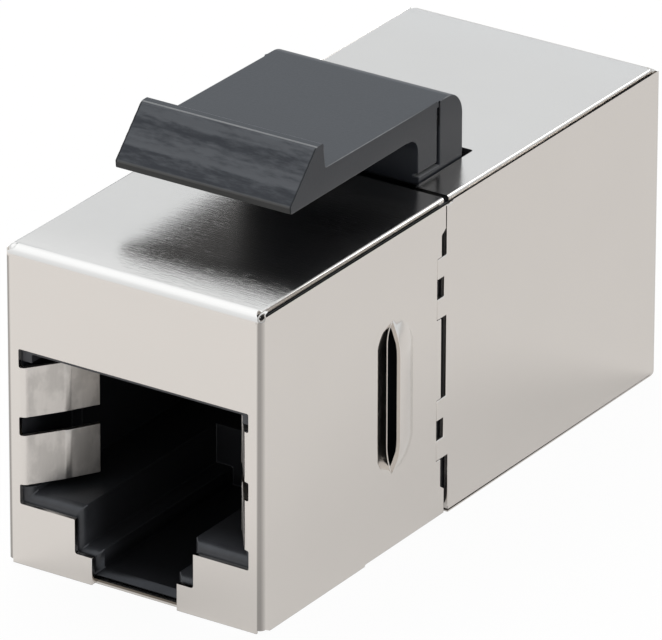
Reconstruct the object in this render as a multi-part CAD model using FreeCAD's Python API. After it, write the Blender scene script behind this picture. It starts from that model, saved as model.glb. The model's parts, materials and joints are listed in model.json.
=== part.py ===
import FreeCAD, Part
import math
import os

from FreeCAD import Placement, Rotation, Vector

# Shielded feed-through keystone jack: two folded sheet shields over two moulded port housings,
# a circuit board between them, spring contact wires in moulded carriers, and a keystone latch.
# Millimetres. X is to the right seen from the front port, Y runs to the rear port and Z is up.
# The origin is under the middle of the body. Each port is first built in a frame of its own,
# with its face at y = 0 and y growing into the jack.

# Body and shields
body_width = 14.5
body_height = 16.48
body_length = 35.0
sheet = 0.25
top_bend_radius = 0.56
side_bend_radius = 0.31
top_half_width = 7.0
front_wall_drop = 0.23
rear_wall_drop = 0.12
inner_seam_gap = 0.18
bottom_seam_height = 0.07
bottom_seam_gap = 0.08
bottom_seam_end_gap = 0.02
corner_notch_height = 0.2
corner_notch_length = 0.7
relief_radius = 0.15
relief_lift = 0.07
front_shield_length = 15.67
front_top_overhang = 0.18
joint_gap = 0.14
lower_joint_gap = 0.33
top_joint_gap = 0.45
rear_shield_drop = 0.06
catch_step_depth = 8.8
catch_step_height = 0.1

# Port cut-out in the shield
port_top = 11.27
port_floor = 3.2
port_half_width = 6.5
finger_root_half_width = 6.37
finger_height = 2.56
finger_bottoms = (4.22, 7.74)
key_step_top = 1.42
key_half_width = 3.37
key_slot_half_width = 2.41
notch_corner_radius = 0.1
key_corner_radius = 0.14
port_cut_depth = 0.28

# Ground fingers, bent in from the shield's face
finger_root_run = 0.4
finger_bend_radius = 0.2
finger_bend = 53.0
finger_ramp = 1.85
finger_knee_radius = 4.0
finger_knee = 6.0
finger_tip_run = 1.45

# Lanced stop on the front shield's side walls
louvre_slit_depth = 11.05
louvre_bottom = 4.0
louvre_top = 12.0
louvre_reach = 1.85
louvre_rise = 0.5
louvre_dip_reach = 1.35
louvre_dip = 0.26

# Joint of the two shields on the side walls
joint_slot_bottom = 1.4
joint_slot_top = 15.0
joint_slot_recess = 0.32
joint_slot_slope = 0.22
tongue_reach = 0.81
tongue_height = 3.15
tongue_offset = 3.7
tongue_lift = 0.12
tongue_notch_height = 1.04
tongue_notch_depth = 0.6
tongue_gap = 0.03

# Port housings
housing_clearance = 0.05
cavity_half_width = 5.95
cavity_floor = 3.77
cavity_top = 10.97
cavity_rear_wall = 0.6
key_clearance = 0.28
key_channel_step = 1.7
key_channel_floor = 0.75
key_channel_setback = 2.0
lead_in = 0.4
finger_pocket_depth = 4.4
finger_pocket_margin = 0.22
finger_pocket_wall = 0.4
louvre_pocket_margin = 0.3

# Contacts and their carriers
contact_count = 8
contact_pitch = 1.016
wire_radius = 0.18
contact_height = 13.0
tail_row_drop = 1.3
tail_stick_out = 0.5
jog_setback = 0.7
jog_radius = 0.6
jog_angle = 45.0
contact_nose_depth = 5.2
contact_nose_radius = 0.8
contact_slope = 22.0
contact_blade_length = 7.2
bay_margin = 1.7
bay_slot_margin = 0.75
bay_front = 3.6
bay_slot_setback = 2.0
bay_floor = 12.0
bay_height = 2.3
tail_bay_length = 2.8
tail_bay_floor = 10.7
carrier_front = 6.0
carrier_clearance = 0.05
wire_clearance = 0.04

# Circuit board
board_thickness = 1.2
board_half_width = 6.4
board_bottom = 1.2
board_top = 14.4

# Keystone latch; heights are above the shields' top
latch_half_width = 4.95
latch_block_half_width = 5.0
latch_tip = 5.92
latch_lip_front = 5.88
latch_lip_height = 2.69
latch_lip_radius = 0.12
latch_ridge_front = 8.05
latch_ridge_rear = 8.62
latch_ridge_height = 4.96
latch_ridge_front_radius = 0.45
latch_ridge_rear_radius = 0.14
latch_catch = 8.82
latch_arm_height = 3.67
latch_arm_fall = 0.17
latch_under_height = 2.3
latch_leg_front = 16.75
latch_arch_radius = 0.75
latch_rear = 20.58
latch_rear_radius = 1.3
latch_groove_place = 18.42
latch_groove_width = 0.16
latch_groove_depth = 0.3
latch_groove_cover = 0.3
latch_foot_height = 0.38
latch_sink = 0.2
grip_groove_count = 5
grip_groove_radius = 1.6
grip_groove_depth = 0.012

# Latch pivot and the slot that it works in
pivot_place = 19.4
pivot_drop = 1.15
pivot_radius = 0.6
pivot_half_length = 5.95
pivot_neck = 1.0
pivot_clearance = 0.05
pivot_end_clearance = 0.1
latch_slot_half_width = 5.08
latch_slot_end = 21.45
latch_slot_corner = 0.15
latch_room_drop = 0.9
latch_room_front = 15.5
latch_room_margin = 0.1

# Sizes that follow from the ones above
half_width = body_width / 2
half_length = body_length / 2
rear_shield_length = body_length - front_shield_length - joint_gap
front_top_length = front_shield_length + front_top_overhang
rear_top_length = body_length - front_top_length - top_joint_gap
housing_half_width = half_width - sheet - housing_clearance
housing_front = sheet + housing_clearance
housing_rear = half_length - board_thickness / 2
housing_bottom = sheet + housing_clearance
rear_shield_height = body_height - rear_shield_drop
housing_top = rear_shield_height - sheet - housing_clearance
mid_height = body_height / 2
contact_half_span = contact_pitch * (contact_count - 1) / 2
bay_half_width = contact_half_span + bay_margin
bay_top = bay_floor + bay_height
tail_bay_front = housing_rear - tail_bay_length
bay_slot_end = tail_bay_front - bay_slot_setback
cavity_depth = tail_bay_front - cavity_rear_wall
key_channel_depth = cavity_depth - key_channel_setback
jog_depth = housing_rear - jog_setback
pivot_height = body_height - pivot_drop
overcut = 1.0


def box(x0, x1, y0, y1, z0, z1):
    """Box between two corners."""
    return Part.makeBox(x1 - x0, y1 - y0, z1 - z0, Vector(x0, y0, z0))


def wide_box(half, y0, y1, z0, z1):
    """Box centred across the jack."""
    return box(-half, half, y0, y1, z0, z1)


def both_sides(shape):
    """A shape with its mirror image on the other side of the jack."""
    return Part.makeCompound([shape, shape.mirror(Vector(0, 0, 0), Vector(1, 0, 0))])


def cross_rod(y, z, radius, half):
    """Round rod across the jack."""
    return Part.makeCylinder(radius, 2 * half, Vector(-half, y, z), Vector(1, 0, 0))


def edges_at_depth(shape, depth):
    """Edges that lie wholly at one depth."""
    return [e for e in shape.Edges if all(abs(v.Point.y - depth) < 1e-6 for v in e.Vertexes)]


def edges_along(shape, direction):
    """Straight edges that run along a direction."""
    found = []
    for edge in shape.Edges:
        if isinstance(edge.Curve, Part.Line) and abs(edge.Curve.Direction.dot(direction)) > 1 - 1e-6:
            found.append(edge)
    return found


def walk(start, heading, runs, offset=0.0):
    """Segments of straight runs and tangent arcs, set off to the left of the path by an offset.

    A run is (length,) for a straight line or (radius, turn) for an arc, with left turns positive.
    """
    u, v = start
    angle = math.radians(heading)
    segments = []
    for run in runs:
        if len(run) == 1:
            shift = (-math.sin(angle) * offset, math.cos(angle) * offset)
            end = (u + math.cos(angle) * run[0], v + math.sin(angle) * run[0])
            segments.append([(u + shift[0], v + shift[1]), (end[0] + shift[0], end[1] + shift[1])])
            u, v = end
        else:
            radius, turn = run[0], math.radians(run[1])
            side = math.copysign(1.0, turn)
            centre = (u - math.sin(angle) * radius * side, v + math.cos(angle) * radius * side)
            reach = radius - side * offset
            marks = []
            for share in (0.0, 0.5, 1.0):
                aim = angle + turn * share
                marks.append((centre[0] + math.sin(aim) * reach * side,
                              centre[1] - math.cos(aim) * reach * side))
            segments.append(marks)
            angle += turn
            u = centre[0] + math.sin(angle) * radius * side
            v = centre[1] - math.cos(angle) * radius * side
    return segments


def edge_through(points):
    """Line through two points or arc through three."""
    if len(points) == 2:
        return Part.LineSegment(*points).toShape()
    return Part.Arc(*points).toShape()


def bent_strip(start, heading, runs, thickness, z0, height):
    """Upright strip of sheet that follows a path seen from above."""
    left = walk(start, heading, runs, thickness / 2)
    right = [points[::-1] for points in walk(start, heading, runs, -thickness / 2)[::-1]]
    outline = left + [[left[-1][-1], right[0][0]]] + right + [[right[-1][-1], left[0][0]]]
    edges = [edge_through([Vector(x, y, z0) for x, y in points]) for points in outline]
    return Part.Face(Part.Wire(edges)).extrude(Vector(0, 0, height))


def profile_across(points, y0, y1):
    """Outline in x and z, run from one depth to another."""
    outline = Part.makePolygon([Vector(x, y0, z) for x, z in points + points[:1]])
    return Part.Face(outline).extrude(Vector(0, y1 - y0, 0))


def side_profile(points, x0, x1):
    """Outline in y and z, run from one place across the jack to another."""
    outline = Part.makePolygon([Vector(x0, y, z) for y, z in points + points[:1]])
    return Part.Face(outline).extrude(Vector(x1 - x0, 0, 0))


def to_rear(shape):
    """Turn a piece built in a port's frame to the rear port."""
    placed = shape.copy()
    placed.Placement = Placement(Vector(0, half_length, 0), Rotation(Vector(0, 0, 1), 180))
    return placed


def to_front(shape):
    """Move a piece built in a port's frame to the front port."""
    placed = shape.copy()
    placed.Placement = Placement(Vector(0, -half_length, 0), Rotation())
    return placed


def rounded_block(half, depth, length, bottom, top, top_radius, upright_radius, bottom_radius):
    """Block whose front has radii on its top edge, its upright edges and, unless zero, its bottom edge."""
    block = wide_box(half, depth, length, bottom, top)
    front = edges_at_depth(block, depth)
    upright = [e for e in edges_along(block, Vector(0, 0, 1)) if any(e.isSame(f) for f in front)]
    rounded = block.makeFillet(upright_radius, upright)
    for height, radius in ((top, top_radius), (bottom, bottom_radius)):
        if radius:
            level = [e for e in front if all(abs(v.Point.z - height) < 1e-6 for v in e.Vertexes)]
            rounded = rounded.common(block.makeFillet(radius, level))
    return rounded


def folded_shell(length, height, bottom_radius):
    """Open box of sheet folded back from the port's face."""
    outer = rounded_block(half_width, 0, length, 0, height, top_bend_radius, side_bend_radius, bottom_radius)
    inner = rounded_block(half_width - sheet, sheet, length + overcut, sheet, height - sheet,
                          top_bend_radius - sheet, side_bend_radius - sheet, max(bottom_radius - sheet, 0))
    return outer.cut(inner)


def corner_relief(z):
    """Round relief across the corner where a seam meets the folds."""
    inset = side_bend_radius / 3
    reach = side_bend_radius + sheet
    along = Vector(1, -1, 0).normalize()
    start = Vector(half_width - inset, inset, z) - along * reach
    return Part.makeCylinder(relief_radius, 2 * reach, start, along)


def top_seam(length, height, wall_top):
    """Open seams beside a top sheet, over side walls whose edges are sheared at a slant."""
    under = height - sheet
    inner = half_width - sheet - housing_clearance
    outer = half_width + overcut
    outline = [(outer, height + overcut), (top_half_width, height + overcut), (top_half_width, under),
               (inner, under), (inner, wall_top - half_width + inner), (half_width, wall_top),
               (outer, wall_top)]
    seam = profile_across(outline, side_bend_radius / 3, length + overcut)
    return both_sides(seam.fuse(corner_relief(wall_top + relief_lift)))


def bottom_seam(length):
    """Open seams that widen from the fold, over a bottom sheet whose thin edge covers the side walls."""
    low = bottom_seam_height
    start = top_bend_radius
    end = length + overcut
    wall = half_width - sheet
    outline = [(start, low), (end, low), (end, low + bottom_seam_gap), (start, low + bottom_seam_end_gap)]
    under = side_profile(outline, wall - bottom_seam_gap, half_width + overcut)
    beside = box(wall - bottom_seam_gap, wall, start, end, low, sheet + bottom_seam_gap)
    return both_sides(under.fuse(beside))


def corner_notches():
    """Reliefs at the lower ends of the upright folds."""
    outline = [(-overcut, -overcut), (-overcut, corner_notch_height), (side_bend_radius, corner_notch_height),
               (corner_notch_length, 0), (corner_notch_length, -overcut)]
    return both_sides(side_profile(outline, half_width - side_bend_radius, half_width + overcut))


def inner_seam(length):
    """Open seams through the bottom sheet, along the inside of the side walls."""
    x = half_width - sheet
    slot = box(x - inner_seam_gap, x, side_bend_radius / 3, length + overcut,
               -overcut, sheet + inner_seam_gap)
    return both_sides(slot)


def port_cutter():
    """Cut-out of the port, with notches beside the finger roots and the plug's key slot below."""
    half = [(port_half_width, port_top)]
    for bottom in reversed(finger_bottoms):
        half.append((port_half_width, bottom + finger_height))
        half.append((finger_root_half_width, bottom + finger_height))
        half.append((finger_root_half_width, bottom))
        half.append((port_half_width, bottom))
    half.append((port_half_width, port_floor))
    half.append((key_half_width, port_floor))
    half.append((key_half_width, key_step_top))
    half.append((key_slot_half_width, key_step_top))
    half.append((key_slot_half_width, -overcut))
    outline = half + [(-x, z) for x, z in reversed(half)]
    cutter = profile_across(outline, -overcut, port_cut_depth)
    key_corners = []
    notch_corners = []
    for edge in edges_along(cutter, Vector(0, 1, 0)):
        x = abs(edge.Vertexes[0].Point.x)
        if x < key_half_width + sheet:
            key_corners.append(edge)
        elif x > (finger_root_half_width + port_half_width) / 2:
            notch_corners.append(edge)
    rounded = cutter.makeFillet(key_corner_radius, key_corners)
    return rounded.common(cutter.makeFillet(notch_corner_radius, notch_corners))


def ground_fingers():
    """Sprung fingers that touch the plug's shield, on the right side of the port."""
    start = (finger_root_half_width + sheet + finger_root_run / 2, sheet / 2)
    runs = [(finger_root_run,), (finger_bend_radius, -finger_bend), (finger_ramp,),
            (finger_knee_radius, -finger_knee), (finger_tip_run,)]
    return [bent_strip(start, 180, runs, sheet, bottom, finger_height) for bottom in finger_bottoms]


def port_shield(length, height, wall_top, bottom_radius):
    """Folded shield of one port with its cut-out and ground fingers."""
    shell = folded_shell(length, height, bottom_radius).cut(port_cutter())
    shell = shell.cut(top_seam(length, height, wall_top))
    for finger in ground_fingers():
        shell = shell.fuse(finger)
        shell = shell.fuse(finger.mirror(Vector(0, 0, 0), Vector(1, 0, 0)))
    return shell


def louvre_lens(reach, rise, inset):
    """Long lens on a side wall's outside: round ends on a straight middle, less an inset."""
    sphere_radius = (reach ** 2 + rise ** 2) / (2 * rise)
    low = louvre_bottom + reach
    high = louvre_top - reach
    axis_x = half_width + rise - sphere_radius
    radius = sphere_radius - inset
    middle = Part.makeCylinder(radius, high - low, Vector(axis_x, louvre_slit_depth, low))
    lens = middle
    for z in (low, high):
        lens = lens.fuse(Part.makeSphere(radius, Vector(axis_x, louvre_slit_depth, z)))
    return lens


def with_louvres(shell):
    """Side walls slit and formed: the rear of the slit raised, the front of it pressed in."""
    x = half_width
    slit = louvre_slit_depth

    def reach_of(x0, x1, y0, y1):
        return box(x0, x1, y0, y1, louvre_bottom, louvre_top)

    rear = slit + louvre_reach
    front = slit - louvre_dip_reach
    inside = x - 2 * louvre_dip - sheet
    outside = x + 2 * louvre_rise
    raised = louvre_lens(louvre_reach, louvre_rise, 0).common(reach_of(x - sheet, outside, slit, rear))
    under = louvre_lens(louvre_reach, louvre_rise, sheet).common(reach_of(inside, outside, slit, rear))
    flip = (Vector(x - sheet / 2, 0, 0), Vector(1, 0, 0))
    pressed = louvre_lens(louvre_dip_reach, louvre_dip, 0).mirror(*flip)
    pressed = pressed.common(reach_of(inside, x, front, slit))
    hollow = louvre_lens(louvre_dip_reach, louvre_dip, sheet).mirror(*flip)
    hollow = hollow.common(reach_of(inside, outside, front, slit))
    for mirrored in (False, True):
        tools = [raised, under, pressed, hollow]
        if mirrored:
            tools = [tool.mirror(Vector(0, 0, 0), Vector(1, 0, 0)) for tool in tools]
        shell = shell.fuse(tools[0]).cut(tools[1]).fuse(tools[2]).cut(tools[3])
    return shell


def tongue_bottoms():
    """Lower ends of the two tongues on a side wall."""
    middle = mid_height + tongue_lift
    return [middle + side * tongue_offset - tongue_height / 2 for side in (-1, 1)]


def front_shield():
    """Shield of the front port."""
    shell = port_shield(front_top_length, body_height, body_height - front_wall_drop, 0)
    shell = shell.cut(inner_seam(front_top_length)).cut(corner_notches())
    shell = with_louvres(shell)
    wall = half_width - sheet - inner_seam_gap / 2
    end = front_top_length + overcut
    shell = shell.cut(wide_box(half_width + overcut, front_shield_length, end,
                               -overcut, body_height - sheet))
    shell = shell.cut(both_sides(box(wall, half_width + overcut, catch_step_depth, end,
                                     -overcut, catch_step_height)))
    slot_front = front_shield_length - joint_slot_recess
    slot = [(slot_front, joint_slot_bottom + joint_slot_slope), (front_shield_length, joint_slot_bottom),
            (end, joint_slot_bottom), (end, joint_slot_top), (front_shield_length, joint_slot_top),
            (slot_front, joint_slot_top - joint_slot_slope)]
    shell = shell.cut(both_sides(side_profile(slot, wall, half_width + overcut)))
    tongue_front = front_shield_length + joint_gap - tongue_reach - tongue_gap
    for bottom in tongue_bottoms():
        shell = shell.cut(both_sides(box(wall, half_width + overcut, tongue_front, end,
                                         bottom - tongue_gap, bottom + tongue_height + tongue_gap)))
    return to_front(shell)


def rear_shield():
    """Shield of the rear port, with tongues on its side walls and the latch's slot in its top."""
    shell = port_shield(rear_shield_length, rear_shield_height, rear_shield_height - rear_wall_drop,
                        top_bend_radius)
    shell = shell.cut(bottom_seam(rear_shield_length))
    end = rear_shield_length + overcut
    shell = shell.cut(wide_box(top_half_width + overcut, rear_top_length, end,
                               rear_shield_height - sheet, body_height + overcut))
    shell = shell.cut(wide_box(half_width + overcut, rear_shield_length + joint_gap - lower_joint_gap, end,
                               -overcut, tongue_bottoms()[0]))
    tip = rear_shield_length + tongue_reach
    for bottom in tongue_bottoms():
        tongue = box(half_width - sheet, half_width, rear_shield_length - sheet, tip,
                     bottom, bottom + tongue_height)
        notch_bottom = bottom + (tongue_height - tongue_notch_height) / 2
        notch = box(half_width - 2 * sheet, half_width + sheet, tip - tongue_notch_depth, tip + overcut,
                    notch_bottom, notch_bottom + tongue_notch_height)
        tongue = tongue.cut(notch)
        shell = shell.fuse(tongue).fuse(tongue.mirror(Vector(0, 0, 0), Vector(1, 0, 0)))
    slot = wide_box(latch_slot_half_width, body_length - latch_slot_end, end,
                    rear_shield_height - 2 * sheet, body_height + overcut)
    slot_ends = [e for e in edges_along(slot, Vector(0, 0, 1))
                 if e.Vertexes[0].Point.y < rear_shield_length]
    return to_rear(shell.cut(slot.makeFillet(latch_slot_corner, slot_ends)))


def port_housing():
    """Moulded housing of one port: plug cavity, key channel, finger pockets and contact bay."""
    block = rounded_block(housing_half_width, housing_front, housing_rear, housing_bottom, housing_top,
                          top_bend_radius - sheet, side_bend_radius - sheet, top_bend_radius - sheet)
    start = housing_front - overcut
    block = block.cut(wide_box(cavity_half_width, start, cavity_depth, cavity_floor, cavity_top))
    block = block.cut(wide_box(key_half_width - key_clearance, start, key_channel_depth,
                               key_channel_step, cavity_floor + overcut))
    block = block.cut(wide_box(key_slot_half_width - key_clearance, start, key_channel_depth,
                               key_channel_floor, key_channel_step + overcut))
    pocket_bottom = finger_bottoms[0] - finger_pocket_margin
    pocket_top = finger_bottoms[-1] + finger_height + finger_pocket_margin
    block = block.cut(wide_box(housing_half_width - finger_pocket_wall, start, finger_pocket_depth,
                               pocket_bottom, pocket_top))
    block = block.cut(flared_mouth(cavity_half_width, cavity_floor, cavity_floor + overcut))
    block = block.cut(flared_mouth(key_half_width - key_clearance, key_channel_step, cavity_floor))
    block = block.cut(flared_mouth(key_slot_half_width - key_clearance, key_channel_floor,
                                   key_channel_step))
    block = block.cut(wide_box(bay_half_width, bay_front, tail_bay_front + overcut, bay_floor, bay_top))
    block = block.cut(wide_box(contact_half_span + bay_slot_margin, bay_front, bay_slot_end,
                               cavity_top - sheet, bay_floor + sheet))
    return block.cut(wide_box(bay_half_width, tail_bay_front, housing_rear + overcut,
                              tail_bay_floor, bay_top))


def flared_mouth(half, floor, top):
    """Sloped edges at the mouth of an opening in a housing's front, beside and below it."""
    ends = []
    for grow in (lead_in + housing_clearance, 0):
        y = housing_front + lead_in - grow
        corners = [(-half - grow, floor - grow), (half + grow, floor - grow), (half + grow, top),
                   (-half - grow, top), (-half - grow, floor - grow)]
        ends.append(Part.makePolygon([Vector(x, y, z) for x, z in corners]))
    return Part.makeLoft(ends, True, True)


def latch_room(housing, depth):
    """Room under the shields' top for the latch's leg, from a depth to the housing's end."""
    return housing.cut(wide_box(latch_slot_half_width + latch_room_margin, depth,
                                housing_rear + overcut, body_height - latch_room_drop,
                                body_height))


def front_housing():
    """Housing of the front port, with pockets behind the pressed-in half of the lanced stops."""
    pocket_wall = half_width - sheet - louvre_dip - louvre_pocket_margin
    pocket = box(pocket_wall, half_width, louvre_slit_depth - louvre_dip_reach - louvre_pocket_margin,
                 louvre_slit_depth + louvre_reach, louvre_bottom, louvre_top)
    housing = latch_room(port_housing().cut(both_sides(pocket)), latch_room_front)
    return to_front(housing)


def rear_housing():
    """Housing of the rear port, with the trough that the latch's pivot turns in."""
    housing = latch_room(port_housing(), body_length - latch_slot_end)
    depth = body_length - pivot_place
    radius = pivot_radius + pivot_clearance
    half = pivot_half_length + pivot_end_clearance
    housing = housing.cut(cross_rod(depth, pivot_height, radius, half))
    return to_rear(housing.cut(wide_box(half, depth - radius, depth + radius, pivot_height, body_height)))


def contact_x(index):
    """Place of a contact across the port."""
    return index * contact_pitch - contact_half_span


def tail_height(index):
    """Height where a contact's tail passes the board: every other one is in the lower row."""
    return contact_height - tail_row_drop * (index % 2)


def contact(index):
    """Spring wire: straight tail, run along the carrier, round nose and sloping blade."""
    tail = half_length + board_thickness / 2 + tail_stick_out
    turn = math.radians(jog_angle)
    runs = []
    straight = tail - contact_nose_depth
    if index % 2:
        arc_rise = jog_radius * (1 - math.cos(turn))
        slant = (tail_row_drop - 2 * arc_rise) / math.sin(turn)
        jog_length = 2 * jog_radius * math.sin(turn) + slant * math.cos(turn)
        runs += [(tail - jog_depth,), (jog_radius, -jog_angle), (slant,), (jog_radius, jog_angle)]
        straight = jog_depth - jog_length - contact_nose_depth
    runs += [(straight,), (contact_nose_radius, 180 - contact_slope), (contact_blade_length,)]
    x = contact_x(index)
    edges = []
    for points in walk((tail, tail_height(index)), 180, runs):
        edges.append(edge_through([Vector(x, y, z) for y, z in points]))
    ring = Part.makeCircle(wire_radius, Vector(x, tail, tail_height(index)), Vector(0, -1, 0))
    return Part.Wire(edges).makePipeShell([Part.Wire(ring)], True, False)


def contact_carrier():
    """Moulded block in the housing's bay, with a round way for each contact."""
    gap = carrier_clearance
    block = wide_box(bay_half_width - gap, carrier_front, tail_bay_front, bay_floor + gap, bay_top - gap)
    for index in range(contact_count):
        start = Vector(contact_x(index), carrier_front - overcut, contact_height)
        length = tail_bay_front - carrier_front + 2 * overcut
        block = block.cut(Part.makeCylinder(wire_radius + wire_clearance, length, start, Vector(0, 1, 0)))
    return block


def circuit_board():
    """Board between the housings, drilled for both rows of tails."""
    half = board_thickness / 2
    board = wide_box(board_half_width, -half, half, board_bottom, board_top)
    for index in range(contact_count):
        for x in (contact_x(index), -contact_x(index)):
            start = Vector(x, -half - overcut, tail_height(index))
            board = board.cut(Part.makeCylinder(wire_radius + wire_clearance, board_thickness + 2 * overcut,
                                                start, Vector(0, 1, 0)))
    return board


def latch_bar(half):
    """The latch's side outline run across a width, with its long edges rounded."""
    rear_height = latch_arm_height - latch_arm_fall
    corners = [(latch_tip, latch_under_height, 0), (latch_lip_front, latch_lip_height, latch_lip_radius),
               (latch_ridge_front, latch_ridge_height, latch_ridge_front_radius),
               (latch_ridge_rear, latch_ridge_height, latch_ridge_rear_radius),
               (latch_catch, latch_arm_height, 0), (latch_rear, rear_height, latch_rear_radius),
               (latch_rear, -latch_sink, 0), (latch_leg_front, -latch_sink, 0),
               (latch_leg_front, latch_under_height, latch_arch_radius)]
    bar = side_profile([(y, body_height + z) for y, z, radius in corners], -half, half)
    for y, z, radius in corners:
        if radius:
            place = Vector(-half, y, body_height + z)
            edge = min(edges_along(bar, Vector(1, 0, 0)),
                       key=lambda e: min(v.Point.distanceToPoint(place) for v in e.Vertexes))
            bar = bar.makeFillet(radius, [edge])
    return bar


def grip_grooves():
    """Shallow grooves along the wedge's sloping face."""
    run = (latch_ridge_front - latch_lip_front, latch_ridge_height - latch_lip_height)
    length = math.hypot(*run)
    lift = grip_groove_radius - grip_groove_depth
    grooves = []
    for index in range(grip_groove_count):
        share = (index + 1) / (grip_groove_count + 1)
        y = latch_lip_front + run[0] * share - run[1] / length * lift
        z = body_height + latch_lip_height + run[1] * share + run[0] / length * lift
        grooves.append(cross_rod(y, z, grip_groove_radius, latch_half_width + overcut))
    return Part.makeCompound(grooves)


def keystone_latch():
    """Moulded latch: sprung arm with a wedge nose, leg, rear block and pivot."""
    arm = latch_bar(latch_half_width).cut(grip_grooves())
    groove_end = latch_groove_place + latch_groove_width
    block = latch_bar(latch_block_half_width)
    foot = wide_box(half_width, latch_tip, groove_end, body_height - overcut,
                    body_height + latch_foot_height - latch_groove_width)
    back = wide_box(half_width, groove_end, latch_rear + overcut, body_height - overcut,
                    body_height + latch_arm_height)
    latch = arm.fuse(block.common(foot)).fuse(block.common(back))
    x = latch_half_width - latch_groove_depth
    upright = box(x, half_width, latch_groove_place, groove_end,
                  body_height + latch_foot_height - latch_groove_width,
                  body_height + latch_arm_height - latch_arm_fall - latch_groove_cover)
    level = box(x, half_width, latch_tip, groove_end,
                body_height + latch_foot_height - latch_groove_width, body_height + latch_foot_height)
    latch = latch.cut(both_sides(upright.fuse(level)))
    neck = wide_box(latch_half_width, pivot_place - pivot_neck / 2, pivot_place + pivot_neck / 2,
                    pivot_height, body_height)
    latch = latch.fuse(neck).fuse(cross_rod(pivot_place, pivot_height, pivot_radius, pivot_half_length))
    return to_front(latch)


def pieces():
    """Every piece of the jack under its own name."""
    made = {
        "front_shield": front_shield(),
        "rear_shield": rear_shield(),
        "front_housing": front_housing(),
        "rear_housing": rear_housing(),
        "front_contact_carrier": to_front(contact_carrier()),
        "rear_contact_carrier": to_rear(contact_carrier()),
        "circuit_board": circuit_board(),
        "keystone_latch": keystone_latch(),
    }
    for index in range(contact_count):
        wire = contact(index)
        made["front_contact_%d" % (index + 1)] = to_front(wire)
        made["rear_contact_%d" % (index + 1)] = to_rear(wire)
    return made


os.makedirs("parts", exist_ok=True)
for name, shape in pieces().items():
    clean = shape.removeSplitter()
    solids = clean.Solids
    print(name, "solids", len(solids), "valid", clean.isValid(), "volume", round(clean.Volume, 3))
    clean.exportStep("parts/%s.step" % name)
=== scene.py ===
"""Looks of a shielded feed-through keystone jack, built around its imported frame."""

import json
import math

import bmesh
import bpy
from bpy.props import FloatProperty, FloatVectorProperty, PointerProperty
from mathutils import Matrix, Vector

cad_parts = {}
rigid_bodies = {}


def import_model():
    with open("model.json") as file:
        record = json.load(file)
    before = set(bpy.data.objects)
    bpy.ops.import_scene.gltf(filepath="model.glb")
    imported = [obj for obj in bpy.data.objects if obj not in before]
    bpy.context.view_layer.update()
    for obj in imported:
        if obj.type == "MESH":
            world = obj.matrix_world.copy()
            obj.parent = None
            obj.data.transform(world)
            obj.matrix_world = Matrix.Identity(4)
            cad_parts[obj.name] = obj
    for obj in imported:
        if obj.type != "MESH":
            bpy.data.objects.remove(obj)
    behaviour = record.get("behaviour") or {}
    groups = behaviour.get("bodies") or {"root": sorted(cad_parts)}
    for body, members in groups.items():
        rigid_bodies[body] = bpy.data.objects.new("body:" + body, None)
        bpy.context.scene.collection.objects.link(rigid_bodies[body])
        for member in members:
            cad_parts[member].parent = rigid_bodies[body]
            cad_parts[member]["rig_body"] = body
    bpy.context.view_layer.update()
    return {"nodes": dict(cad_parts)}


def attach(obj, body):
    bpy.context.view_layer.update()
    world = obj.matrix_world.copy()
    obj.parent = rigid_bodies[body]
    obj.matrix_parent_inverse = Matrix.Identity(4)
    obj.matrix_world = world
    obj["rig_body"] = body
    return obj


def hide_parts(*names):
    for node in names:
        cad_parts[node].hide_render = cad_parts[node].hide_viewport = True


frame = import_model()

bl_info = {
    "name": "Keystone Jack Looks",
    "version": (1, 0, 0),
    "blender": (4, 5, 0),
    "location": "View3D > Sidebar > Keystone",
    "description": "Dresses the packed keystone jack and sets up its studio",
    "category": "Object",
}

MM = 0.001
SIDES = ("front", "rear")
CONTACT_COUNT = 8

# Merging, and the angles between faces that count as flat, creased or sharp
MERGE_DISTANCE = 0.0015 * MM
FLAT_ANGLE = math.radians(0.6)
CREASE_ANGLE = math.radians(12)
SHARP_ANGLE = math.radians(48)

# Sheared edges of the top sheets: least length, least distance from the middle, straightness
SHEARED_LENGTH = 5 * MM
SHEARED_REACH = 6 * MM
SHEARED_AIM = 0.999
SHEARED_STEPS = 5

# Room for a rounded edge, in radii of the rounding
CROWDED_LENGTH = 2.5
ROOMY_LENGTH = 12
RUN_OUT = 3
BOARD_EDGE = 0.05 * MM

# Folds of the front shield
FOLD_CENTRE = (6.94 * MM, 17.19 * MM)
FOLD_RADIUS = 0.31 * MM
TOP_FOLD_RADIUS = 0.56 * MM
FACE_PLACE = 17.5 * MM
FRONT_TOP = 16.48 * MM

# Burr along a lanced stop: straight between two heights, then curved at both ends
BURR_RADIUS = 0.035 * MM
BURR_SEGMENTS = 8
SLIT_PLACE = -6.47 * MM
SLIT_FLOOR = 6.99 * MM
SLIT_STRAIGHT = (5.35 * MM, 10.65 * MM)
SLIT_RADIUS = 3.385 * MM
SLIT_TURN = math.radians(22.3)
SLIT_STEPS = 6

# Trim at the front's upper corners
RIM_RADIUS = 0.21 * MM
RIM_THICKNESS = 0.05 * MM
RIM_SEGMENTS = 10
RIM_STEPS = 32
RIM_LIFT = -0.015 * MM
RIM_TURN = math.radians(42)
RIM_HEIGHT = 16.27 * MM
CAP_RADIUS = 0.33 * MM
CAP_PLACE = (-6.9 * MM, -17.08 * MM, 16.14 * MM)
CAP_SEGMENTS = (24, 16)

# Noise: its middle value, and the detail and roughness of a rough grain
NOISE_MIDDLE = 0.5
ROUGH_GRAIN = (3.0, 0.6)

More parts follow.
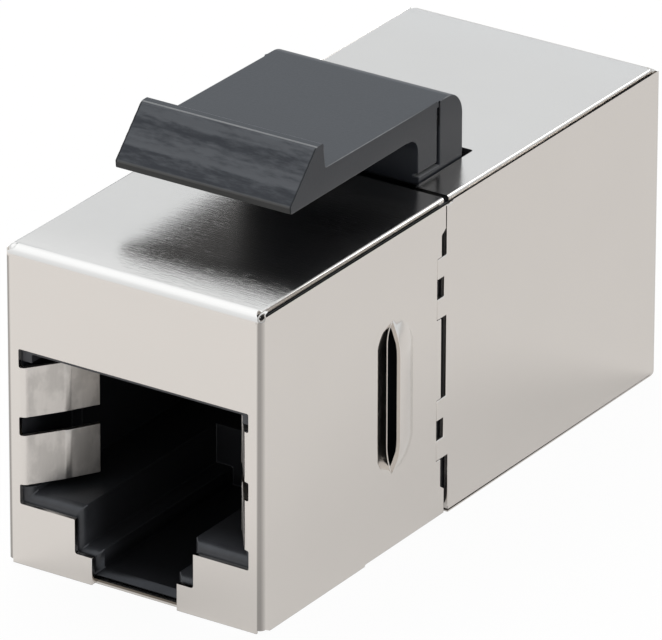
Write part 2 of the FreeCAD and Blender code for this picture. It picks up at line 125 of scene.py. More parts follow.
# Zones of the sheet, in millimetres from the body's middle and from the surface it stands on
FINGER_REACH = 6.36
FINGER_MOUTH = (17.45, 17.25)
FINGER_FOOT = 4.0
FINGER_TOP = 11.0
FOLD_REACH = 6.9
FOLD_DEPTH = 17.1
FOLD_TOP = (16.0, 15.9)
KEY_HALF_WIDTH = 2.42
KEY_DEPTH = 16.0
FRACTURE_AND_SHADOW_HEIGHTS = (0.11, 0.15)
SEAM_TOP = 0.3
CROWN_START = 13.0
CROWN_RUN = 4.0

# Which way the sheet's faces look there
TOP_FACING = (0.97, 0.999)
UNDER_FACING = (-0.15, -0.4)
BASE_FACING = (-0.97, -0.9)
END_FACING = 0.7
FOLD_GAIN = (6.0, 1.25)

# Tones and texture of the sheet, with painted shade in its upright folds and along its bottom
# edges, and a painted burr shadow with the fracture zone on the key slots' cut edges
PATCH_GRAIN = (0.25, 0.25, 0.25)
PATCH_SPREAD = 0.015
PATCH_ROUGHNESS = 0.05
BRUSH_GRAIN = (1.2, 20.0, 20.0)
BRUSH_DEPTH = 0.0075 * MM
CROWN_DROP = 32.0
SMUDGE_GRAIN = (1.0, 1.0, 0.7)
SMUDGE_RANGE = (0.62, 0.4)
STREAK_GRAIN = (9.0, 9.0, 0.8)
FINGER_ROUGHNESS = 0.16
FINGER_SHADE = 0.03
SMUDGE_SHADE = 0.18
STREAK_SHADE = 0.1
FOLD_SHADE = 0.6
UNDER_SHADE = 0.7
DARK_SHEET = 0.1
FRACTURE_AND_SHADOW = (0.1, 0.075, 0.05)
FRACTURE_AND_SHADOW_SHARE = 0.85

# Tones and texture of all mouldings
SPARK_GRAIN = (9.0, 9.0, 9.0)
SPARK_ROUGHNESS = 0.15
SPARK_DEPTH = 0.02 * MM
CLOUD_GRAIN = (0.4, 0.4, 0.4)
CLOUD_SPREAD = 0.07

# Painted light at a port's mouth and painted shade on its key channel's floor, with zones in
# millimetres
MOUTH_DEPTHS = (15.0, 17.2)
MOUTH_GRAIN = (0.7, 0.7, 0.7)
MOUTH_SHARE = 1.4
MOUTH_LIGHT = 4.0
CHANNEL_HEIGHTS = (1.5, 0.9)
CHANNEL_SHADE = 0.5

# Painted light, reflection bands and highlights on the latch, broken up by random stains, with
# zones in millimetres and bands in shares of the slope's fall
WEDGE_TOP = 21.44
WEDGE_FALL = 2.27
WEDGE_FOOT = 18.7
WEDGE_FACING = (-0.35, -0.55)
UPPER_BAND = ((0.15, 0.28), (0.62, 0.3))
LOWER_BAND = (0.66, 0.8)
BAND_SHARE = 0.5
LONG_STAINS = (0.3, 2.5, 2.5)
SHORT_STAINS = (1.2, 5.0, 5.0)
STAIN_SHARES = (0.45, 0.55)
STAIN_CONTRAST = 2.6
STREAK_BASE = 0.2
STREAK_TONE = 0.95
STREAK_ROUGHNESS = 0.2
WEDGE_LIT = (0.078, 0.083, 0.092)
WEDGE_LIP = (0.04, 0.04, 0.0395)
LIP_HEIGHTS = (19.2, 19.12)
LIP_HIGHLIGHT_BAND = ((19.06, 19.12), (19.24, 19.18))
LIP_HIGHLIGHT_GAIN = 3.0
WEDGE_SIDE = (4.85, 4.9)
SIDE_TONE = 0.3
EDGE_HIGHLIGHT = (0.2, 0.205, 0.21)
EDGE_HIGHLIGHT_SHARES = (0.4, 0.8)
LEVEL_FACING = (0.2, 0.05)
CORNER_GAIN = 2.0
CORNER_FACING = (0.4, 0.8)
CREST_BAND = ((0.90, 0.94), (0.995, 0.98))
CREST_FACING = -0.08

# Contact wires and circuit board
DRAWN_GRAIN = (18.0, 0.8, 18.0)
DRAWN_TONE = 0.92
DRAWN_STRENGTH = 0.08
DRAWN_DEPTH = 0.01 * MM
GOLD_ROUGHNESS = 0.2
WEAVE_GRAIN = (4.0, 0.3, 4.0)
CLOTH_GRAIN = (0.6, 0.6, 0.6)
WEAVE_SHARES = (0.6, 0.4)
WEAVE_TONE = 0.8
RESIST_ROUGHNESS = 0.3
RESIST_COAT = 0.3
GRAIN_ROUGHNESS = 0.1

# Camera, with the photograph's width in pixels
IMAGE_WIDTH = 662
SENSOR_WIDTH = 36.0
CLIP_RANGE = (0.01, 20.0)
BODY_MIDDLE = (0.0, 0.0, 8.325 * MM)

# Floor, with distances in millimetres where its material reads them
WHITE = (1.0, 1.0, 1.0, 1.0)
FLOOR_SIZE = 4.0
FLOOR_GAP = 0.02 * MM
FLOOR_AIM = (0.55, 0.83)
FLOOR_FALL = (-25.0, 45.0)
FLOOR_DIM = (0.68, 0.68, 0.68, 1.0)
FLOOR_FAR = (40.0 ** 2, 160.0 ** 2)
FLOOR_MIRRORED = 0.5
FLOOR_SEEN = 0.95

# Surroundings: level of the light, and what metal sees of them
WORLD_LEVEL = 0.68
WORLD_COOL = (0.895, 0.945, 0.99, 1.0)
LEFT_AIM = (0.5, 0.866)
LEFT_RANGE = (0.65, 1.0)
LEFT_GAIN = 0.57
FRONT_RANGE = (-0.3, -0.8)
FRONT_HEIGHTS = (-0.3, 0.6)
FRONT_GAIN = 0.27

# Softboxes: name, direction, distance, size, radiance, and whether metal mirrors it
SOFTBOXES = (("key_softbox", (-0.45, 0.32, 0.83), 0.35, 0.20, 4.0, False),
             ("fill_softbox", (-0.50, -0.55, 0.65), 0.40, 0.34, 0.45, False),
             ("edge_softbox", (0.24, 0.77, 0.60), 0.40, 0.12, 4.0, True))
SOFTBOX_TARGET = (0.0, 0.0, 0.01)


def colour_property(name, description, default):
    """Colour that a user may change."""
    return FloatVectorProperty(name=name, description=description, default=default,
                               subtype="COLOR", size=3, min=0.0, max=1.0)


def length_property(name, description, default_mm):
    """Length that a user may change, given here in millimetres."""
    return FloatProperty(name=name, description=description, default=default_mm * MM,
                         unit="LENGTH", min=0.0, precision=5)


def share_property(name, description, default):
    """Share from nothing to all."""
    return FloatProperty(name=name, description=description, default=default,
                         subtype="FACTOR", min=0.0, max=1.0)


class ShieldSettings(bpy.types.PropertyGroup):
    """Sheet of the two shields."""

    colour: colour_property("Sheet", "Colour of the plated sheet", (0.70, 0.665, 0.63))
    roughness: share_property("Roughness", "Roughness of the plated sheet", 0.17)
    edge: length_property("Edge", "Rounding of the sheet's cut edges", 0.04)
    rolled: length_property("Rolled edge", "Roll-over of the top sheets' sheared edges", 0.14)


class MouldingSettings(bpy.types.PropertyGroup):
    """Moulded pieces: housings, contact carriers and latch."""

    housing: colour_property("Housing", "Colour of the port housings", (0.013, 0.0136, 0.0155))
    latch: colour_property("Latch", "Colour of the latch", (0.025, 0.0275, 0.0335))
    housing_edge: length_property("Housing edge", "Rounding of the housings' edges", 0.06)
    latch_edge: length_property("Latch edge", "Rounding of the latch's edges", 0.055)


class WiringSettings(bpy.types.PropertyGroup):
    """Contacts and circuit board."""

    plating: colour_property("Plating", "Colour of the contact wires", (0.86, 0.62, 0.26))
    resist: colour_property("Resist", "Colour of the board's solder resist", (0.02, 0.13, 0.05))


class StageSettings(bpy.types.PropertyGroup):
    """Camera, floor and light."""

    azimuth: FloatProperty(name="Azimuth", description="Camera's turn from the front port",
                           default=math.radians(33.363), subtype="ANGLE")
    elevation: FloatProperty(name="Elevation", description="Camera's height over the horizon",
                             default=math.radians(24.759), subtype="ANGLE")
    roll: FloatProperty(name="Roll", description="Camera's turn about its own axis",
                        default=math.radians(0.133), subtype="ANGLE")
    distance: length_property("Distance", "Camera's distance from the body's middle", 479.5)
    focal_pixels: FloatProperty(name="Focal length", description="Focal length in image pixels",
                                default=9974.6)
    slide: FloatVectorProperty(name="Slide", description="Camera's move to the right and up",
                               default=(-0.379 * MM, -0.564 * MM), size=2, unit="LENGTH")
    floor: colour_property("Floor", "Colour of the floor", (0.90, 0.885, 0.87))


class KeystoneSettings(bpy.types.PropertyGroup):
    """All settings of the jack."""

    shield: PointerProperty(type=ShieldSettings)
    moulding: PointerProperty(type=MouldingSettings)
    wiring: PointerProperty(type=WiringSettings)
    stage: PointerProperty(type=StageSettings)


def shade(colour, factor=1.0):
    """Colour made darker or lighter, with full alpha."""
    return (*[min(1.0, part * factor) for part in colour], 1.0)


class Value:
    """Output of a shader node that takes part in Python sums."""

    def __init__(self, shader, socket):
        self.shader = shader
        self.socket = socket

    def _math(self, operation, first, second):
        return self.shader.add("Math", {"operation": operation}, {0: first, 1: second})

    def __add__(self, other):
        return self._math("ADD", self, other)

    def __radd__(self, other):
        return self._math("ADD", other, self)

    def __sub__(self, other):
        return self._math("SUBTRACT", self, other)

    def __rsub__(self, other):
        return self._math("SUBTRACT", other, self)

    def __mul__(self, other):
        return self._math("MULTIPLY", self, other)

    def __rmul__(self, other):
        return self._math("MULTIPLY", other, self)

    def __truediv__(self, other):
        return self._math("DIVIDE", self, other)

    def __rtruediv__(self, other):
        return self._math("DIVIDE", other, self)

    def __abs__(self):
        return self._math("ABSOLUTE", self, 0.0)

    def __gt__(self, other):
        return self._math("GREATER_THAN", self, other)

    def __lt__(self, other):
        return self._math("LESS_THAN", self, other)

    def most(self, other):
        """Larger of two values."""
        return self._math("MAXIMUM", self, other)

    def least(self, other):
        """Smaller of two values."""
        return self._math("MINIMUM", self, other)


class Shader:
    """Node tree of a material or world."""

    def __init__(self, owner):
        owner.use_nodes = True
        self.tree = owner.node_tree
        self.tree.nodes.clear()

    def add(self, kind, settings=None, inputs=None, output=0):
        """Add a node, set it up, feed its sockets and return one of its outputs, if it has any."""
        node = self.tree.nodes.new("ShaderNode" + kind)
        for key, value in (settings or {}).items():
            setattr(node, key, value)
        for key, value in (inputs or {}).items():
            if isinstance(value, Value):
                self.tree.links.new(value.socket, node.inputs[key])
            else:
                node.inputs[key].default_value = value
        return Value(self, node.outputs[output]) if node.outputs else None

    def blend(self, share, first, second):
        """Mix of two colours."""
        return self.add("Mix", {"data_type": "RGBA"}, {0: share, 6: first, 7: second}, 2)

    def varied(self, share, colour, spread):
        """Colour that is a little darker or lighter from place to place."""
        return self.blend(share, shade(colour, 1.0 - spread), shade(colour, 1.0 + spread))

    def layer(self, share, first, second):
        """Mix of two surfaces."""
        return self.add("MixShader", {}, {0: share, 1: first, 2: second})

    def millimetres(self, scale):
        """Object coordinates in millimetres, stretched by a scale along each axis."""
        place = self.add("TexCoord", output="Object")
        return self.add("Mapping", {}, {"Vector": place, "Scale": [s / MM for s in scale]})

    def axes(self, vector):
        """The three parts of a vector."""
        return [self.add("SeparateXYZ", {}, {0: vector}, axis) for axis in range(3)]

    def place(self):
        """Place on the jack in millimetres, axis by axis."""
        return self.axes(self.millimetres((1.0, 1.0, 1.0)))

    def facing(self):
        """Direction in which the surface looks, axis by axis."""
        return self.axes(self.add("NewGeometry", output="Normal"))

    def ramp(self, value, low, high):
        """Smooth step from nothing at one value to all at another."""
        return self.add("MapRange", {"interpolation_type": "SMOOTHSTEP"},
                        {"Value": value, "From Min": low, "From Max": high})

    def band(self, value, rise, fall):
        """Smooth step up over one range of a value and down over another."""
        return self.ramp(value, *rise) * self.ramp(value, *fall)

    def noise(self, scale, detail=2.0, roughness=0.5):
        """Noise whose grain has a given number of periods in a millimetre along each axis."""
        return self.add("TexNoise", {}, {"Vector": self.millimetres(scale), "Scale": 1.0,
                                         "Detail": detail, "Roughness": roughness})

    def bump(self, height, depth, strength=1.0):
        """Normal of a surface with a fine relief."""
        return self.add("Bump", {}, {"Strength": strength, "Distance": depth, "Height": height})

    def surface(self, **inputs):
        """Finish the material with a Principled surface."""
        sockets = {key.replace("_", " ").title().replace("Ior", "IOR"): value
                   for key, value in inputs.items()}
        self.output(self.add("BsdfPrincipled", {}, sockets))

    def sight(self):
        """Whether a surface is seen straight, and whether in metal or through something."""
        seen = self.add("LightPath", output="Is Camera Ray")
        glossy = self.add("LightPath", output="Is Glossy Ray")
        return seen, glossy.most(self.add("LightPath", output="Is Transmission Ray"))

    def output(self, surface, kind="OutputMaterial"):
        """Feed the tree's output."""
        self.add(kind, {}, {"Surface": surface})


def new_shader(name):
    """Fresh material and its shader."""
    material = bpy.data.materials.new(name)
    return material, Shader(material)


def finger_zone(shader, place):
    """Where the sheet forms the ground fingers inside a port."""
    inside = (FINGER_REACH > abs(place[0])) * shader.ramp(abs(place[1]), *FINGER_MOUTH)
    return inside * (FINGER_TOP > place[2]) * (place[2] > FINGER_FOOT)


def finger_smudges(shader):
    """Smudges and drawn streaks of the ground fingers."""
    smudge = shader.ramp(shader.noise(SMUDGE_GRAIN, *ROUGH_GRAIN), *SMUDGE_RANGE)
    return FINGER_SHADE + smudge * SMUDGE_SHADE + shader.noise(STREAK_GRAIN) * STREAK_SHADE


def fold_shade_zone(shader, place, facing):
    """Where painted shade darkens the upright folds at the corners, standing for their dark
    reflection, below the top on the left side.
    """
    corner = (abs(place[0]) > FOLD_REACH) * (abs(place[1]) > FOLD_DEPTH)
    corner = corner * shader.ramp(place[2], *FOLD_TOP).most(place[0] > 0.0)
    across, ahead = [(abs(facing[axis]) * FOLD_GAIN[axis]).least(1.0) for axis in range(2)]
    return across * ahead * corner


def fracture_and_shadow_zone(shader, place, facing):
    """Where the upper half of the cut edge at the bottom of a port's key slot is painted dark
    brown, as burr shadow and fracture zone.
    """
    inside = (KEY_HALF_WIDTH > abs(place[0])) * (abs(facing[1]) > END_FACING)
    upper = shader.ramp(place[2], *FRACTURE_AND_SHADOW_HEIGHTS) * (SEAM_TOP > place[2])
    return inside * (abs(place[1]) > KEY_DEPTH) * upper


def plated_sheet(settings):
    """Satin nickel sheet, smooth on its upright faces and brushed across its top, with painted
    shade in its folds and along its bottom edges.
    """
    material, shader = new_shader("plated_sheet")
    facing, place = shader.facing(), shader.place()
    patches = shader.noise(PATCH_GRAIN)
    fingers = finger_zone(shader, place)
    # Painted contact shade on the faces that look down near the floor
    contact_shade = shader.band(facing[2], UNDER_FACING, BASE_FACING) * (SEAM_TOP > place[2])
    # Painted shade in the upright folds and along the bottom edges, with random smudges on the
    # fingers
    shade_and_smudges = fold_shade_zone(shader, place, facing) * FOLD_SHADE + fingers * finger_smudges(shader)
    shade_and_smudges = shade_and_smudges + contact_shade * UNDER_SHADE
    tone = shader.varied(patches, settings.colour, PATCH_SPREAD)
    tone = shader.blend(shade_and_smudges, tone, shade(settings.colour, DARK_SHEET))
    # Painted burr shadow and fracture zone, dark brown, over the key slots' cut edges
    fracture_and_shadow = fracture_and_shadow_zone(shader, place, facing)
    tone = shader.blend(fracture_and_shadow * FRACTURE_AND_SHADOW_SHARE, tone, shade(FRACTURE_AND_SHADOW))
    crown = ((abs(place[1]) - CROWN_START) / CROWN_RUN).most(0.0)
    height = shader.noise(BRUSH_GRAIN) - crown * crown * CROWN_DROP
    bump = shader.bump(height * shader.ramp(facing[2], *TOP_FACING), BRUSH_DEPTH)
    rough = settings.roughness + (patches - NOISE_MIDDLE) * PATCH_ROUGHNESS
    rough = rough + fingers * FINGER_ROUGHNESS
    shader.surface(base_color=tone, metallic=1.0, roughness=rough, normal=bump)
    return material


def mouth_light_and_channel_shade(shader, colour, tone, rough):
    """Painted light, blotchy, at a port's mouth, and painted shade on the floor of its key channel,
    which turns metallic so its near-black colour shows no sheen.
    """
    place = shader.place()
    # Painted light, paler towards the mouth
    mouth = shader.ramp(abs(place[1]), *MOUTH_DEPTHS)
    mouth = mouth * shader.noise(MOUTH_GRAIN, *ROUGH_GRAIN) * MOUTH_SHARE
    # Painted shade: the channel's floor turns metallic, so its near-black colour shows no sheen
    painted_dark = shader.ramp(place[2], *CHANNEL_HEIGHTS) * CHANNEL_SHADE
    tone = shader.blend(mouth * (1.0 - painted_dark), tone, shade(colour, MOUTH_LIGHT))
    return tone, rough, painted_dark


def wedge_light_and_stains(shader, colour, tone, rough):
    """Painted light and reflection bands on the slope of the latch's wedge, broken up by stains,
    with a darker lip and side edges, and painted highlights on the latch's edges.
    """
    facing, place = shader.facing(), shader.place()
    slope = shader.ramp(facing[1], *WEDGE_FACING) * (place[2] > WEDGE_FOOT)
    down = (WEDGE_TOP - place[2]) / WEDGE_FALL
    # Painted reflection bands across the slope, broken up by stains
    bands = shader.band(down, *UPPER_BAND) * BAND_SHARE
    bands = bands + shader.ramp(down, *LOWER_BAND) * BAND_SHARE
    stains = shader.noise(LONG_STAINS) * STAIN_SHARES[0]
    stains = stains + shader.noise(SHORT_STAINS, *ROUGH_GRAIN) * STAIN_SHARES[1]
    stained = STREAK_BASE + bands + (stains - NOISE_MIDDLE) * STAIN_CONTRAST
    reflection_bands_and_stains = shader.ramp(stained, 0.0, 1.0)
    # Painted light: the slope paler than the rest of the latch, darker in the bands and on the lip
    slope_light = shader.blend(reflection_bands_and_stains, shade(WEDGE_LIT), shade(colour, STREAK_TONE))
    slope_light = shader.blend(shader.ramp(place[2], *LIP_HEIGHTS), slope_light, shade(WEDGE_LIP))
    # Painted highlight along the top of the lip, broken up by stains
    lip_highlight = shader.band(place[2], *LIP_HIGHLIGHT_BAND)
    slope_light = shader.blend(lip_highlight * stains, slope_light, shade(WEDGE_LIP, LIP_HIGHLIGHT_GAIN))
    tone = shader.blend(slope, tone, slope_light)
    # Darker along the slope's side edges
    side = shader.ramp(abs(place[0]), *WEDGE_SIDE)
    tone = shader.blend(slope * side, tone, shade(colour, SIDE_TONE))
    # Painted highlights on the arm's rounded top side edges and along the ridge's crest, broken up
    # by stains
    corner = shader.ramp(abs(facing[0]) * facing[2] * CORNER_GAIN, *CORNER_FACING)
    corner = corner * shader.ramp(abs(facing[1]), *LEVEL_FACING)
    crest = shader.band(facing[2], *CREST_BAND) * (CREST_FACING > facing[1])
    edge_highlight = corner.most(crest) * (EDGE_HIGHLIGHT_SHARES[0] + stains * EDGE_HIGHLIGHT_SHARES[1])
    tone = shader.blend(edge_highlight, tone, shade(EDGE_HIGHLIGHT))
    return tone, rough + slope * reflection_bands_and_stains * STREAK_ROUGHNESS, 0.0


def moulded_plastic(name, colour, painted_light_and_stains, roughness, texture, sheen):
    """Moulded plastic with the fine texture of its mould, and the painted light, shade and stains
    of its piece.
    """
    material, shader = new_shader(name)
    spark = shader.noise(SPARK_GRAIN, *ROUGH_GRAIN)
    tone = shader.varied(shader.noise(CLOUD_GRAIN), colour, CLOUD_SPREAD)
    rough = roughness + (spark - NOISE_MIDDLE) * SPARK_ROUGHNESS
    # Painted light, shade and stains of the piece, and a metallic share that paints shade
    tone, rough, painted_dark = painted_light_and_stains(shader, colour, tone, rough)
    bump = shader.bump(spark, SPARK_DEPTH, texture)
    shader.surface(base_color=tone, metallic=painted_dark, roughness=rough, specular_ior_level=sheen,
                   normal=bump)
    return material


def gold_plating(settings):
    """Gold-plated spring wire, drawn along its length."""
    material, shader = new_shader("gold_plating")
    drawn = shader.noise(DRAWN_GRAIN)
    tone = shader.blend(drawn, shade(settings.plating, DRAWN_TONE), shade(settings.plating))
    bump = shader.bump(drawn, DRAWN_DEPTH, DRAWN_STRENGTH)
    shader.surface(base_color=tone, metallic=1.0,
                   roughness=GOLD_ROUGHNESS + drawn * GRAIN_ROUGHNESS, normal=bump)
    return material


def board_laminate(settings):
    """Solder resist over glass laminate, with the weave just showing."""
    material, shader = new_shader("board_laminate")
    weave = shader.noise(WEAVE_GRAIN, 1.0) * WEAVE_SHARES[0]
    weave = weave + shader.noise(CLOTH_GRAIN) * WEAVE_SHARES[1]
    tone = shader.blend(weave, shade(settings.resist, WEAVE_TONE), shade(settings.resist))
    shader.surface(base_color=tone, roughness=RESIST_ROUGHNESS + weave * GRAIN_ROUGHNESS,
                   coat_weight=RESIST_COAT)
    return material


def rolled_edges(bm, radius):
    """Roll over the long edges where a top sheet was sheared."""
    low = max(v.co.z for v in bm.verts) - radius / 2
    sheared = []
    for edge in bm.edges:
        start, end = [v.co for v in edge.verts]
        on_top = min(start.z, end.z) > low and abs(start.x) > SHEARED_REACH
        if on_top and edge.calc_length() > SHEARED_LENGTH:
            straight = abs((start - end).normalized().y) > SHEARED_AIM
            if straight and edge.calc_face_angle(0.0) > SHARP_ANGLE:
                sheared.append(edge)
    bmesh.ops.bevel(bm, geom=sheared, offset=radius, offset_type="OFFSET", segments=SHEARED_STEPS,
                    profile=0.5, affect="EDGES", material=-1, clamp_overlap=False)


def rounded_edges(bm, radius, steps, run_out):
    """Round the sharp edges that have room for it, run out before crowded ends if asked."""
    crowded = {v for e in bm.edges if e.calc_length() < CROWDED_LENGTH * radius for v in e.verts}
    sharp = [e for e in bm.edges if e.calc_face_angle(0.0) > SHARP_ANGLE]
    for edge in sharp if run_out else []:
        for vert in [v for v in edge.verts if v in crowded]:
            if edge.calc_length() > ROOMY_LENGTH * radius:
                bmesh.utils.edge_split(edge, vert, RUN_OUT * radius / edge.calc_length())
    roomy = [e for e in sharp if not crowded.intersection(e.verts)]
    bmesh.ops.bevel(bm, geom=roomy, offset=radius, offset_type="OFFSET", segments=steps,
                    profile=0.5, affect="EDGES", material=-1, clamp_overlap=False,
                    miter_outer="ARC")
    for edge in bm.edges:
        edge.smooth = edge.calc_face_angle(0.0) < SHARP_ANGLE


def creased_corners(bm):
    """Keep the creases sharp where the top folds meet the upright folds."""
    low = max(v.co.z for v in bm.verts) - TOP_FOLD_RADIUS
    for edge in bm.edges:
        if all(abs(v.co.y) > FOLD_CENTRE[1] and v.co.z > low for v in edge.verts):
            edge.smooth = edge.calc_face_angle(0.0) < CREASE_ANGLE


def new_piece(bm, name, material):
    """Object made of a bmesh, smooth all over and with one material."""
    for face in bm.faces:
        face.smooth = True
    mesh = bpy.data.meshes.new(name)
    bm.to_mesh(mesh)
    bm.free()
    mesh.materials.append(material)
    piece = bpy.data.objects.new(name, mesh)
    bpy.context.scene.collection.objects.link(piece)
    return piece


def dressed(node, name, material, edge=0.0, steps=2, rolled=0.0):
    """Merged copy of a CAD node with smooth curves and rounded edges, which stands for the node."""
    bm = bmesh.new()
    bm.from_mesh(frame["nodes"][node].data)
    bmesh.ops.remove_doubles(bm, verts=bm.verts, dist=MERGE_DISTANCE)
    bmesh.ops.dissolve_limit(bm, angle_limit=FLAT_ANGLE, verts=bm.verts, edges=bm.edges)
    for face in bm.faces:
        face.material_index = 0
    if rolled:
        rolled_edges(bm, rolled)
    if edge:
        rounded_edges(bm, edge, steps, not rolled)
    if rolled:
        creased_corners(bm)
    piece = new_piece(bm, name, material)
    flat = piece.modifiers.new("flats", "WEIGHTED_NORMAL")
    flat.keep_sharp = True
    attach(piece, frame["nodes"][node]["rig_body"])
    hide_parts(node)
    return piece


def finished(bm, name, material):
    """Object made of a new mesh, which rides on the jack's body."""
    piece = new_piece(bm, name, material)
    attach(piece, "module")
    return piece


def only_verts(geom):
    """Vertices among the geometry that an operator returns."""
    return [g for g in geom if isinstance(g, bmesh.types.BMVert)]


def slit_burrs(sheet):
    """Burr along the pressed-in edge of the lanced stop on each side."""
    bm = bmesh.new()
    low, high = SLIT_STRAIGHT
    bmesh.ops.create_circle(bm, radius=BURR_RADIUS, segments=BURR_SEGMENTS)
    bmesh.ops.translate(bm, verts=bm.verts, vec=(SLIT_FLOOR, SLIT_PLACE, low))
    grown = bmesh.ops.extrude_edge_only(bm, edges=bm.edges[:])["geom"]
    bmesh.ops.translate(bm, verts=only_verts(grown), vec=(0, 0, high - low))
    for z, turn in ((low, -SLIT_TURN), (high, SLIT_TURN)):
        end = [e for e in bm.edges
               if e.is_boundary and abs(e.verts[0].co.z - z) < BURR_RADIUS / 10]
        bmesh.ops.spin(bm, geom=end, cent=(SLIT_FLOOR + SLIT_RADIUS, SLIT_PLACE, z),
                       axis=(0, 1, 0), angle=turn, steps=SLIT_STEPS)
    bmesh.ops.remove_doubles(bm, verts=bm.verts, dist=MERGE_DISTANCE / 10)
    bmesh.ops.holes_fill(bm, edges=[e for e in bm.edges if e.is_boundary], sides=0)
    copied = bmesh.ops.duplicate(bm, geom=bm.verts[:] + bm.edges[:] + bm.faces[:])["geom"]
    bmesh.ops.scale(bm, vec=(-1.0, 1.0, 1.0), verts=only_verts(copied))
    bmesh.ops.recalc_face_normals(bm, faces=bm.faces)
    return finished(bm, "slit_burrs", sheet)


def relief_rim(sheet):
    """Rolled rim round the relief hole where the front seam meets the right upright fold."""
    bm = bmesh.new()
    bmesh.ops.create_circle(bm, radius=RIM_THICKNESS, segments=RIM_SEGMENTS)
    bmesh.ops.translate(bm, verts=bm.verts, vec=(RIM_RADIUS, 0, 0))
    bmesh.ops.spin(bm, geom=bm.edges[:], cent=(0, 0, 0), axis=(0, 1, 0), angle=math.tau,
                   steps=RIM_STEPS, use_merge=True)
    # Faces are turned outwards while the ring is still plain, and the bend keeps them so
    bmesh.ops.recalc_face_normals(bm, faces=bm.faces)
    for vert in bm.verts:
        along, out, up = vert.co
        turn = RIM_TURN + along / FOLD_RADIUS
        reach = FOLD_RADIUS + out + RIM_LIFT
        z = min(RIM_HEIGHT + up, FRONT_TOP)
        rise = max(0.0, z - FRONT_TOP + TOP_FOLD_RADIUS)
        face = FACE_PLACE - TOP_FOLD_RADIUS + math.sqrt(TOP_FOLD_RADIUS ** 2 - rise ** 2)
        depth = math.sin(turn) * reach if turn > 0 else turn * FOLD_RADIUS
        y = min(FOLD_CENTRE[1] + depth, face + out + RIM_LIFT, FACE_PLACE)
        vert.co = (FOLD_CENTRE[0] + math.cos(max(turn, 0.0)) * reach, -y, z)
    return finished(bm, "relief_rim", sheet)


def corner_cap(sheet):
    """Rounded sheet behind the relief hole at the front's left corner."""
    bm = bmesh.new()
    around, upward = CAP_SEGMENTS
    bmesh.ops.create_uvsphere(bm, u_segments=around, v_segments=upward, radius=CAP_RADIUS,
                              matrix=Matrix.Translation(CAP_PLACE))
    return finished(bm, "corner_cap", sheet)


class KEYSTONE_OT_shields(bpy.types.Operator):
    """Dress the two folded shields"""

    bl_idname = "keystone.shields"
    bl_label = "Shields"

    def execute(self, context):
        settings = context.scene.keystone.shield
        sheet = plated_sheet(settings)
        for side in SIDES:
            dressed(side + "_shield", side + "_shield_sheet", sheet,
                    settings.edge, rolled=settings.rolled)
        slit_burrs(sheet)
        relief_rim(sheet)
        corner_cap(sheet)
        return {"FINISHED"}


class KEYSTONE_OT_housings(bpy.types.Operator):
    """Dress the port housings and the contact carriers"""

    bl_idname = "keystone.housings"
    bl_label = "Housings"

    def execute(self, context):
        settings = context.scene.keystone.moulding
        plastic = moulded_plastic("black_moulding", settings.housing, mouth_light_and_channel_shade,
                                  roughness=0.42, texture=0.25, sheen=0.45)
        for side in SIDES:
            dressed(side + "_housing", side + "_housing_moulding", plastic,
                    settings.housing_edge)
            dressed(side + "_contact_carrier", side + "_carrier_moulding", plastic,
                    settings.housing_edge)
        return {"FINISHED"}


class KEYSTONE_OT_latch(bpy.types.Operator):
    """Dress the keystone latch"""

    bl_idname = "keystone.latch"
    bl_label = "Latch"

    def execute(self, context):
        settings = context.scene.keystone.moulding
        plastic = moulded_plastic("slate_moulding", settings.latch, wedge_light_and_stains,
                                  roughness=0.32, texture=0.2, sheen=0.25)
        dressed("keystone_latch", "latch_moulding", plastic,
                settings.latch_edge, steps=3)
        return {"FINISHED"}


class KEYSTONE_OT_wiring(bpy.types.Operator):
    """Dress the contact wires and the circuit board"""

    bl_idname = "keystone.wiring"
    bl_label = "Wiring"

    def execute(self, context):
        settings = context.scene.keystone.wiring
        gold = gold_plating(settings)
        for side in SIDES:
            for index in range(1, CONTACT_COUNT + 1):
                node = "%s_contact_%d" % (side, index)
                dressed(node, node + "_wire", gold)
        dressed("circuit_board", "board_laminate", board_laminate(settings),
                BOARD_EDGE, steps=1)
        return {"FINISHED"}


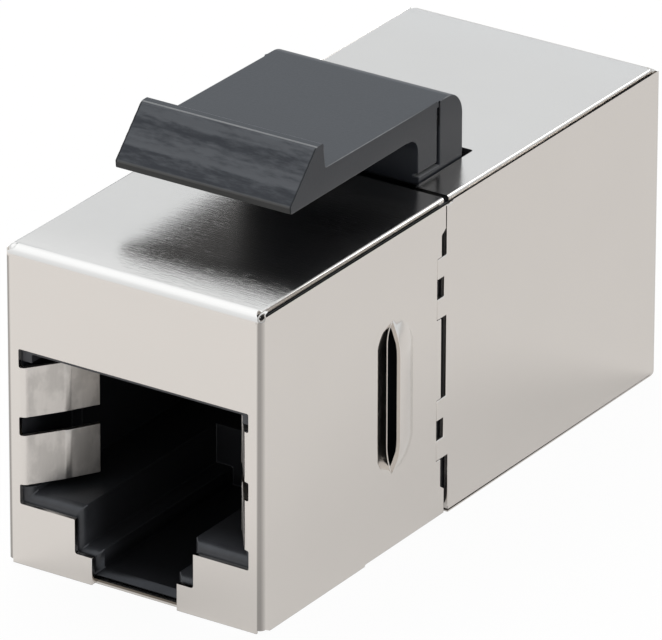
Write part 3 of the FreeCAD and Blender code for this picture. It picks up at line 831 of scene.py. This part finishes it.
class KEYSTONE_OT_stage(bpy.types.Operator):
    """Set up the camera, the floor and the light"""

    bl_idname = "keystone.stage"
    bl_label = "Stage"

    def execute(self, context):
        settings = context.scene.keystone.stage
        self.camera(context.scene, settings)
        self.floor(settings)
        self.world(context.scene)
        self.lamps(context.scene)
        context.scene.view_settings.view_transform = "Standard"
        return {"FINISHED"}

    @staticmethod
    def camera(scene, settings):
        """Camera at the photograph's viewing angle."""
        turn, rise, lean = settings.azimuth, settings.elevation, settings.roll
        back = Vector((math.sin(turn) * math.cos(rise), -math.cos(turn) * math.cos(rise),
                       math.sin(rise)))
        level = Vector((math.cos(turn), math.sin(turn), 0.0))
        upright = back.cross(level)
        right = level * math.cos(lean) + upright * math.sin(lean)
        up = upright * math.cos(lean) - level * math.sin(lean)
        place = Vector(BODY_MIDDLE) + back * settings.distance
        place = place + right * settings.slide[0] + up * settings.slide[1]
        data = bpy.data.cameras.new("camera")
        data.sensor_width = SENSOR_WIDTH
        data.lens = settings.focal_pixels * SENSOR_WIDTH / IMAGE_WIDTH
        data.clip_start, data.clip_end = CLIP_RANGE
        camera = bpy.data.objects.new("camera", data)
        aim = Matrix((right, up, back)).transposed().to_4x4()
        camera.matrix_world = Matrix.Translation(place) @ aim
        scene.collection.objects.link(camera)
        scene.camera = camera

    @staticmethod
    def floor(settings):
        """White floor that keeps the jack's shadow."""
        material, shader = new_shader("white_floor")
        seen, mirrored = shader.sight()
        matt = shader.add("BsdfDiffuse", {}, {"Color": shade(settings.floor)})
        x, y, _ = shader.place()
        falloff = shader.ramp(x * FLOOR_AIM[0] + y * FLOOR_AIM[1], *FLOOR_FALL)
        lit = shader.blend(falloff, WHITE, FLOOR_DIM)
        pale = shader.add("Emission", {}, {"Color": lit, "Strength": 1.0})
        white = shader.add("Emission", {}, {"Color": WHITE, "Strength": 1.0})
        far = shader.ramp(x * x + y * y, *FLOOR_FAR)
        share = mirrored * (FLOOR_MIRRORED + far * (1.0 - FLOOR_MIRRORED))
        below = shader.layer(share, matt, pale)
        shader.output(shader.layer(seen * FLOOR_SEEN, below, white))
        bm = bmesh.new()
        bmesh.ops.create_grid(bm, x_segments=1, y_segments=1, size=FLOOR_SIZE)
        floor = new_piece(bm, "floor", material)
        floor.location.z = -FLOOR_GAP

    @staticmethod
    def world(scene):
        """White surroundings, which metal sees brighter up on the left and in front."""
        scene.world = bpy.data.worlds.new("studio")
        shader = Shader(scene.world)
        seen, mirrored = shader.sight()
        dim = shader.add("Background", {}, {"Color": WHITE, "Strength": WORLD_LEVEL})
        x, y, z = shader.axes(shader.add("TexCoord", output="Generated"))
        left = shader.ramp(z * LEFT_AIM[1] - x * LEFT_AIM[0], *LEFT_RANGE)
        front = shader.ramp(y, *FRONT_RANGE) * shader.ramp(z, *FRONT_HEIGHTS)
        bright = 1.0 + left * LEFT_GAIN + front * FRONT_GAIN
        cool = shader.add("Background", {}, {"Color": WORLD_COOL, "Strength": bright})
        white = shader.add("Background", {}, {"Color": WHITE, "Strength": 1.0})
        around = shader.layer(mirrored, dim, cool)
        shader.output(shader.layer(seen, around, white), "OutputWorld")

    @staticmethod
    def lamps(scene):
        """Softboxes over the jack."""
        for name, aim, distance, size, radiance, mirrored in SOFTBOXES:
            data = bpy.data.lights.new(name, "AREA")
            data.shape = "SQUARE"
            data.size = size
            data.energy = radiance * math.pi * size ** 2
            lamp = bpy.data.objects.new(name, data)
            lamp.visible_glossy = mirrored
            place = Vector(aim).normalized() * distance
            lamp.location = place
            back = place - Vector(SOFTBOX_TARGET)
            lamp.rotation_euler = back.to_track_quat("Z", "Y").to_euler()
            scene.collection.objects.link(lamp)


class KEYSTONE_PT_panel(bpy.types.Panel):
    """Settings and pieces of the keystone jack"""

    bl_label = "Keystone Jack"
    bl_space_type = "VIEW_3D"
    bl_region_type = "UI"
    bl_category = "Keystone"

    def draw(self, context):
        settings = context.scene.keystone
        for group in (settings.shield, settings.moulding, settings.wiring, settings.stage):
            box = self.layout.box()
            for name in group.bl_rna.properties.keys():
                if name not in ("rna_type", "name"):
                    box.prop(group, name)
        for operator in OPERATORS:
            self.layout.operator(operator.bl_idname)


OPERATORS = (KEYSTONE_OT_shields, KEYSTONE_OT_housings, KEYSTONE_OT_latch, KEYSTONE_OT_wiring,
             KEYSTONE_OT_stage)
CLASSES = (ShieldSettings, MouldingSettings, WiringSettings, StageSettings, KeystoneSettings,
           *OPERATORS, KEYSTONE_PT_panel)


def register():
    """Register the classes and the scene's settings."""
    for cls in CLASSES:
        bpy.utils.register_class(cls)
    bpy.types.Scene.keystone = PointerProperty(type=KeystoneSettings)


def unregister():
    """Take the settings and the classes away again."""
    del bpy.types.Scene.keystone
    for cls in reversed(CLASSES):
        bpy.utils.unregister_class(cls)


def main():
    """Dress the jack and set up its studio."""
    register()
    bpy.ops.keystone.shields()
    bpy.ops.keystone.housings()
    bpy.ops.keystone.latch()
    bpy.ops.keystone.wiring()
    bpy.ops.keystone.stage()


if __name__ == "__main__":
    main()
